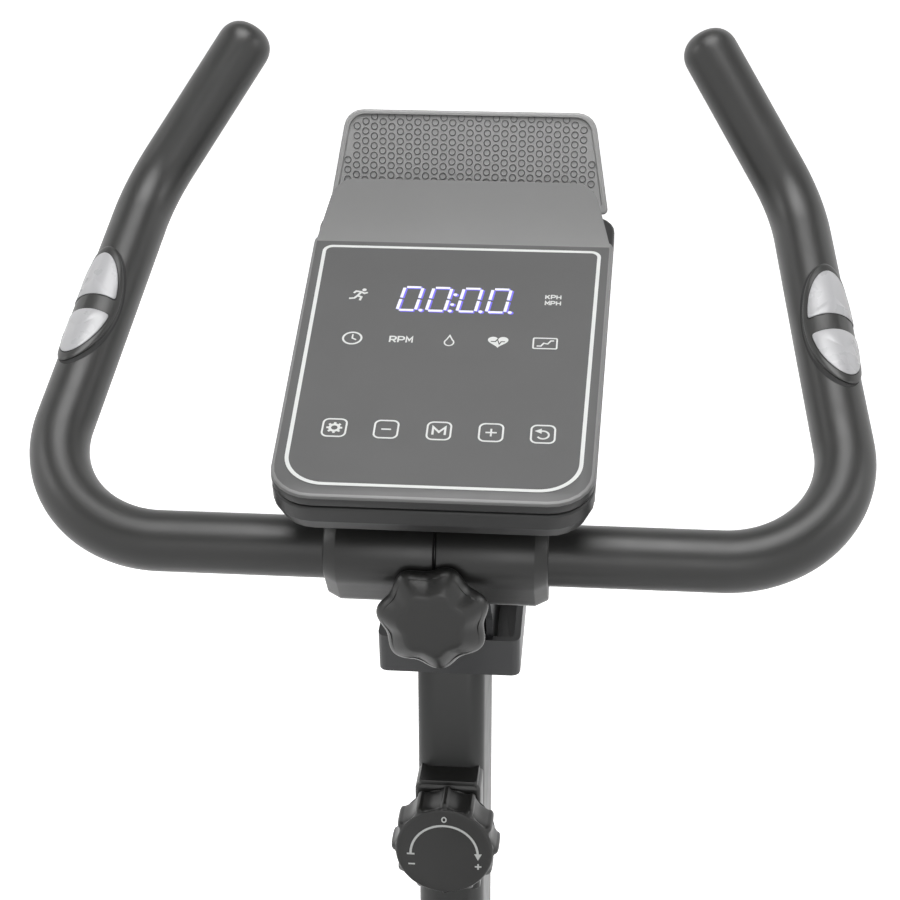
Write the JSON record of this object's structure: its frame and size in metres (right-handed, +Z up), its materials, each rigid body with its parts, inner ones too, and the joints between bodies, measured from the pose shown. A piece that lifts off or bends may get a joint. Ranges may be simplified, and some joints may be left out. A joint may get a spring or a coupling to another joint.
{
  "type": "exercise bike",
  "caption": "Upright magnetic exercise bike with a touch console, tablet rest, curved foam-sleeved handlebar with pulse pads, tension dial, sliding saddle and strapped pedals.",
  "frame": {"origin": "the floor under the middle of the bike's outer box", "axes": "+Z up, +Y forward as the rider faces, +X to the rider's right"},
  "size_m": [0.48, 1.014, 1.286],
  "materials": {
    "frame_steel": "satin black powder coat",
    "post_paint": "satin charcoal powder coat",
    "black_plastic": "fine-grained charcoal plastic",
    "shroud_plastic": "moulded charcoal plastic with fine grain",
    "grip_foam": "soft satin charcoal foam sleeve",
    "console_plastic": "satin mid-grey plastic",
    "console_panel": "smooth grey touch panel",
    "contact_metal": "smooth bright contact plate",
    "bare_iron": "turned iron",
    "black_rubber": "matte black rubber",
    "circuit_board": "green lacquered board",
    "saddle_cover": "soft black grained cover"
  },
  "bodies": {
    "base": {"base_spine": "frame_steel", "front_stabilizer": "frame_steel", "rear_stabilizer": "frame_steel", "front_cap_left": "black_rubber", "front_cap_right": "black_rubber", "rear_cap_left": "black_rubber", "rear_cap_right": "black_rubber", "seat_tube": "frame_steel", "crank_shell": "frame_steel", "crank_bearing_left": "bare_iron", "crank_bearing_right": "bare_iron", "flywheel_fork_left": "frame_steel", "flywheel_fork_right": "frame_steel", "drive_belt": "black_rubber", "shroud_left": "shroud_plastic", "shroud_right": "shroud_plastic", "handlebar_post": "post_paint", "post_socket": "frame_steel", "tension_housing": "black_plastic", "tension_cable": "black_rubber", "post_head": "frame_steel", "clamp_cap": "frame_steel", "clamp_cover_left": "black_plastic", "clamp_cover_right": "black_plastic", "console_face": "console_plastic", "console_lens": "console_panel", "console_base": "console_plastic", "console_board": "circuit_board", "tablet_rest": "console_plastic", "console_bracket": "frame_steel"},
    "seat": {"seat_post": "post_paint", "saddle_base": "black_plastic", "saddle_cushion": "saddle_cover"},
    "seat_pin": {"seat_height_knob": "black_plastic"},
    "crank": {"crank_axle": "bare_iron", "drive_pulley": "black_plastic", "crank_arm_left": "frame_steel", "crank_arm_right": "frame_steel"},
    "left_pedal": {"pedal_left": "black_plastic", "pedal_strap_left": "black_rubber"},
    "right_pedal": {"pedal_right": "black_plastic", "pedal_strap_right": "black_rubber"},
    "flywheel_set": {"flywheel": "bare_iron", "flywheel_axle": "bare_iron"},
    "magnet_arm": {"magnet_bracket": "bare_iron"},
    "handlebar": {"handlebar_tube": "frame_steel", "grip_sleeve_left": "grip_foam", "grip_sleeve_right": "grip_foam", "pulse_base_left": "black_plastic", "pulse_base_right": "black_plastic", "pulse_plate_upper_left": "contact_metal", "pulse_plate_lower_left": "contact_metal", "pulse_plate_upper_right": "contact_metal", "pulse_plate_lower_right": "contact_metal"},
    "star_knob": {"clamp_knob": "black_plastic"},
    "tension_dial": {"tension_knob": "black_plastic"},
    "left_wheel": {"transport_wheel_left": "black_rubber"},
    "right_wheel": {"transport_wheel_right": "black_rubber"},
    "left_foot": {"leveling_foot_left": "black_rubber"},
    "right_foot": {"leveling_foot_right": "black_rubber"}
  },
  "joints": [
    {"name": "seat_height", "type": "slide", "parent": "base", "child": "seat", "axis": [0, -0.342, 0.9397], "range_m": [-0.1, 0.06]},
    {"name": "seat_pin_pull", "type": "slide", "parent": "base", "child": "seat_pin", "axis": [0, -0.9397, -0.342], "range_m": [0, 0.008], "stiffness_N_per_m": 1500},
    {"name": "crank_spin", "type": "hinge", "parent": "base", "child": "crank", "pos_m": [0, -0.04, 0.29], "axis": [-1, 0, 0], "continuous": true},
    {"name": "left_pedal_spin", "type": "hinge", "parent": "crank", "child": "left_pedal", "pos_m": [0, -0.17002, 0.39158], "axis": [1, 0, 0], "continuous": true},
    {"name": "right_pedal_spin", "type": "hinge", "parent": "crank", "child": "right_pedal", "pos_m": [0, 0.09002, 0.18842], "axis": [1, 0, 0], "continuous": true},
    {"name": "flywheel_spin", "type": "hinge", "parent": "base", "child": "flywheel_set", "pos_m": [0, 0.318, 0.262], "axis": [-1, 0, 0], "continuous": true},
    {"name": "magnet_tilt", "type": "hinge", "parent": "base", "child": "magnet_arm", "pos_m": [0, 0.39706, 0.35622], "axis": [1, 0, 0], "range_deg": [0, 2]},
    {"name": "tension_turn", "type": "hinge", "parent": "base", "child": "tension_dial", "pos_m": [0, 0.24884, 0.85901], "axis": [0, 0.9877, -0.1564], "range_deg": [0, 270]},
    {"name": "handlebar_tilt", "type": "hinge", "parent": "base", "child": "handlebar", "pos_m": [0, 0.17, 1.09], "axis": [1, 0, 0], "range_deg": [-15, 15]},
    {"name": "star_knob_turn", "type": "hinge", "parent": "base", "child": "star_knob", "pos_m": [0, 0.1258, 1.0693], "axis": [0, -0.9877, 0.1564], "range_deg": [0, 720]},
    {"name": "left_wheel_spin", "type": "hinge", "parent": "base", "child": "left_wheel", "pos_m": [-0.215, 0.484, 0.027], "axis": [1, 0, 0], "continuous": true},
    {"name": "right_wheel_spin", "type": "hinge", "parent": "base", "child": "right_wheel", "pos_m": [0.215, 0.484, 0.027], "axis": [1, 0, 0], "continuous": true},
    {"name": "left_foot_turn", "type": "hinge", "parent": "base", "child": "left_foot", "pos_m": [-0.215, -0.476, 0.005], "axis": [0, 0, 1], "range_deg": [-180, 180]},
    {"name": "right_foot_turn", "type": "hinge", "parent": "base", "child": "right_foot", "pos_m": [0.215, -0.476, 0.005], "axis": [0, 0, 1], "range_deg": [-180, 180]}
  ],
  "couplings": [
    {"joint": "crank_spin", "follows": "flywheel_spin", "ratio": 0.30476},
    {"joint": "magnet_tilt", "follows": "tension_turn", "ratio": 0.0074074}
  ]
}
